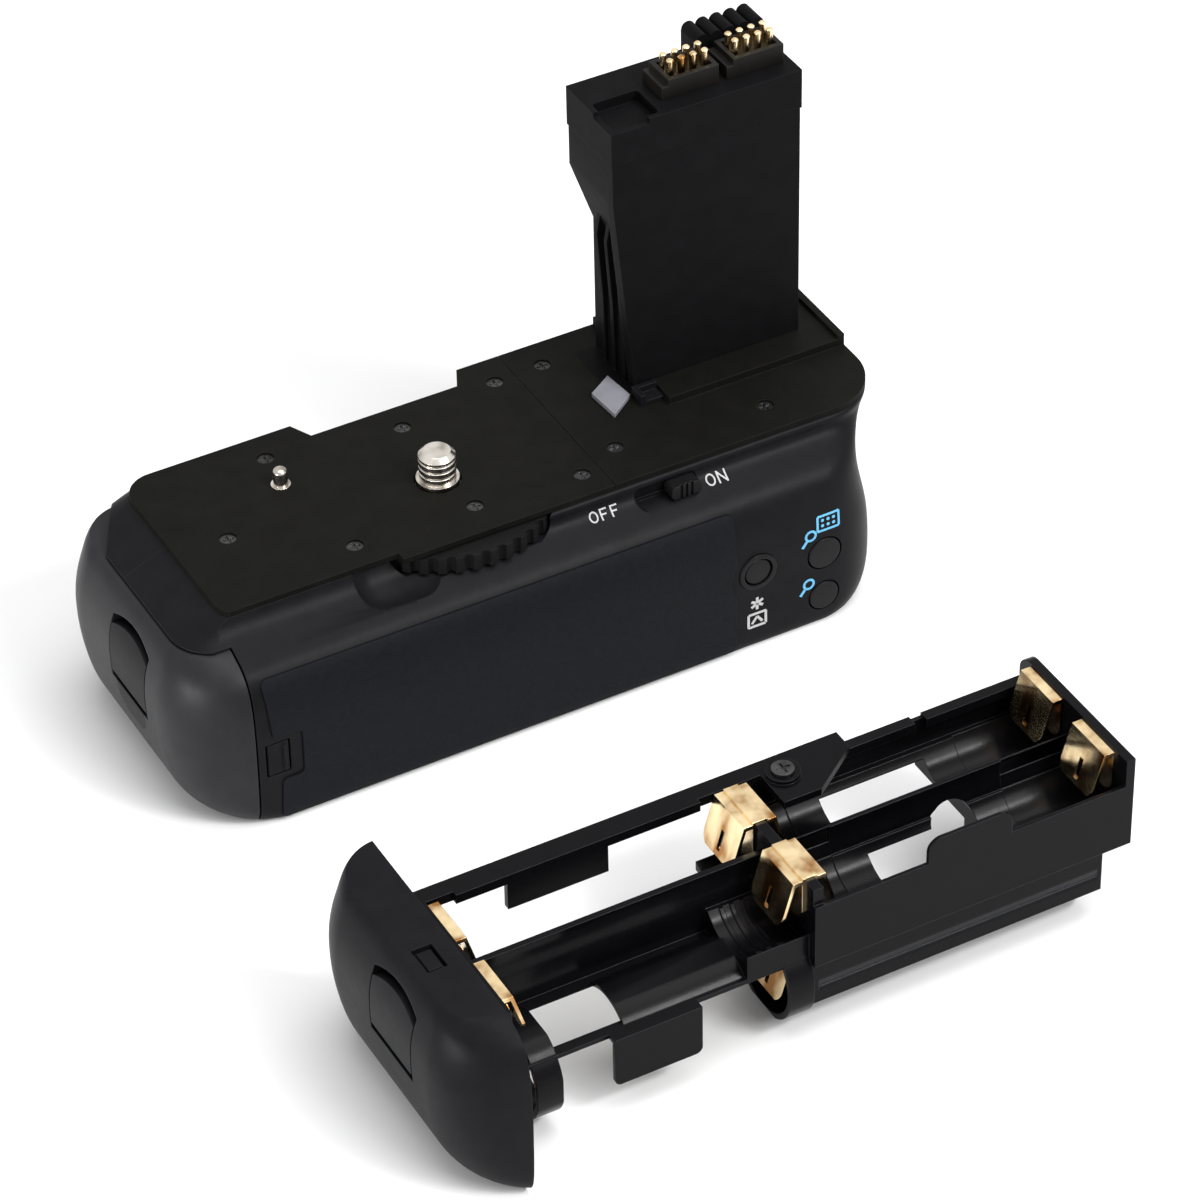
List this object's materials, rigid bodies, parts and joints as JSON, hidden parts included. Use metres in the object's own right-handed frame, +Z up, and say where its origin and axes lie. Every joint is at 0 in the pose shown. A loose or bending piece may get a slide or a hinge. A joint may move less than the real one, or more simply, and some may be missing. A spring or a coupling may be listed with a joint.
{
  "type": "battery grip",
  "caption": "Battery grip for a camera, with a tall battery-shaped post, camera screw, tray bay and a separate tray for AA cells beside it.",
  "frame": {"origin": "on the camera screw's axis, in the plane of the underside", "axes": "+X along the grip towards the post, +Y towards the front, away from the buttons, +Z up"},
  "size_m": [0.1385, 0.1518, 0.0988],
  "materials": {
    "black_plastic": "satin",
    "plate_plastic": "matte",
    "grip_rubber": "matte",
    "wheel_rubber": "matte",
    "steel": "polished",
    "gold_contact": "polished",
    "board": "satin",
    "light_pad": "matte"
  },
  "bodies": {
    "grip": {"rear_shell": "black_plastic", "front_shell": "black_plastic", "post_body": "black_plastic", "post_cap": "black_plastic", "left_contact_block": "black_plastic", "right_contact_block": "black_plastic", "ribbed_stop": "black_plastic", "bay_contact_block": "black_plastic", "switch_body": "black_plastic", "exposure_ring": "black_plastic", "door_catch": "black_plastic", "left_top_plate": "plate_plastic", "right_top_plate": "plate_plastic", "rear_pad": "grip_rubber", "front_pad": "grip_rubber", "top_plate_screws": "steel", "locating_pin": "steel", "dial_axle": "steel", "flap_pin": "steel", "tripod_bushing": "steel", "post_pins": "gold_contact", "bay_contacts": "gold_contact", "button_board": "board", "main_board": "board", "base_pad": "light_pad"},
    "wheel": {"lock_wheel": "wheel_rubber", "camera_screw": "steel", "wheel_washer": "steel"},
    "power_switch": {"switch_knob": "black_plastic"},
    "exposure_key": {"exposure_button": "black_plastic"},
    "focus_key": {"focus_button": "black_plastic"},
    "lock_key": {"lock_button": "black_plastic"},
    "shutter_key": {"shutter_button": "black_plastic"},
    "dial": {"command_dial": "black_plastic"},
    "flap": {"cord_flap": "black_plastic"},
    "inner_tray": {"inner_tray_frame": "black_plastic", "inner_tray_cover": "black_plastic", "inner_tray_contacts": "gold_contact", "inner_latch_foot": "black_plastic", "inner_latch_pin": "steel"},
    "inner_lever": {"inner_latch_lever": "black_plastic"},
    "inner_bolt": {"inner_latch_bolt": "black_plastic"},
    "aa_tray": {"aa_frame": "black_plastic", "aa_cover": "black_plastic", "aa_left_contacts": "gold_contact", "aa_middle_contacts": "gold_contact", "aa_right_contacts": "gold_contact", "aa_lower_contacts": "gold_contact", "aa_terminals": "gold_contact", "aa_screw": "steel", "aa_latch_foot": "black_plastic", "aa_latch_pin": "steel"},
    "aa_lever": {"aa_latch_lever": "black_plastic"},
    "aa_bolt": {"aa_latch_bolt": "black_plastic"}
  },
  "joints": [
    {"name": "wheel_turn", "type": "hinge", "parent": "grip", "child": "wheel", "pos_m": [0, 0, 0.035], "axis": [0, 0, 1], "continuous": true},
    {"name": "power_slide", "type": "slide", "parent": "grip", "child": "power_switch", "axis": [1, 0, 0], "range_m": [-0.0055, 0]},
    {"name": "exposure_press", "type": "slide", "parent": "grip", "child": "exposure_key", "axis": [0, 1, 0], "range_m": [0, 0.0008], "stiffness_N_per_m": 600},
    {"name": "focus_press", "type": "slide", "parent": "grip", "child": "focus_key", "axis": [0, 1, 0], "range_m": [0, 0.0008], "stiffness_N_per_m": 600},
    {"name": "lock_press", "type": "slide", "parent": "grip", "child": "lock_key", "axis": [0, 1, 0], "range_m": [0, 0.0008], "stiffness_N_per_m": 600},
    {"name": "shutter_press", "type": "slide", "parent": "grip", "child": "shutter_key", "axis": [-1, 0, 0], "range_m": [0, 0.0009], "stiffness_N_per_m": 600},
    {"name": "dial_turn", "type": "hinge", "parent": "grip", "child": "dial", "pos_m": [0.0668, 0.024, 0.0195], "axis": [0, 1, 0], "continuous": true},
    {"name": "flap_open", "type": "hinge", "parent": "grip", "child": "flap", "pos_m": [-0.0448, -0.0246, 0.0139], "axis": [0, 0, -1], "range_deg": [0, 100]},
    {"name": "inner_tray_slide", "type": "slide", "parent": "grip", "child": "inner_tray", "axis": [-1, 0, 0], "range_m": [0, 0.118]},
    {"name": "inner_lever_open", "type": "hinge", "parent": "inner_tray", "child": "inner_lever", "pos_m": [-0.0582, -0.0015, 0.0176], "axis": [0, -1, 0], "range_deg": [0, 85]},
    {"name": "inner_bolt_draw", "type": "slide", "parent": "inner_tray", "child": "inner_bolt", "axis": [0, 0, -1], "range_m": [0, 0.002]},
    {"name": "aa_tray_lift", "type": "slide", "parent": "grip", "child": "aa_tray", "axis": [0, 0, 1], "range_m": [0, 0.06]},
    {"name": "aa_lever_open", "type": "hinge", "parent": "aa_tray", "child": "aa_lever", "pos_m": [-0.0592, -0.0987, 0.0176], "axis": [0, -1, 0], "range_deg": [0, 85]},
    {"name": "aa_bolt_draw", "type": "slide", "parent": "aa_tray", "child": "aa_bolt", "axis": [0, 0, -1], "range_m": [0, 0.002]}
  ],
  "couplings": [
    {"joint": "inner_lever_open", "follows": "inner_bolt_draw", "rad_per_m": 735},
    {"joint": "aa_lever_open", "follows": "aa_bolt_draw", "rad_per_m": 735}
  ]
}
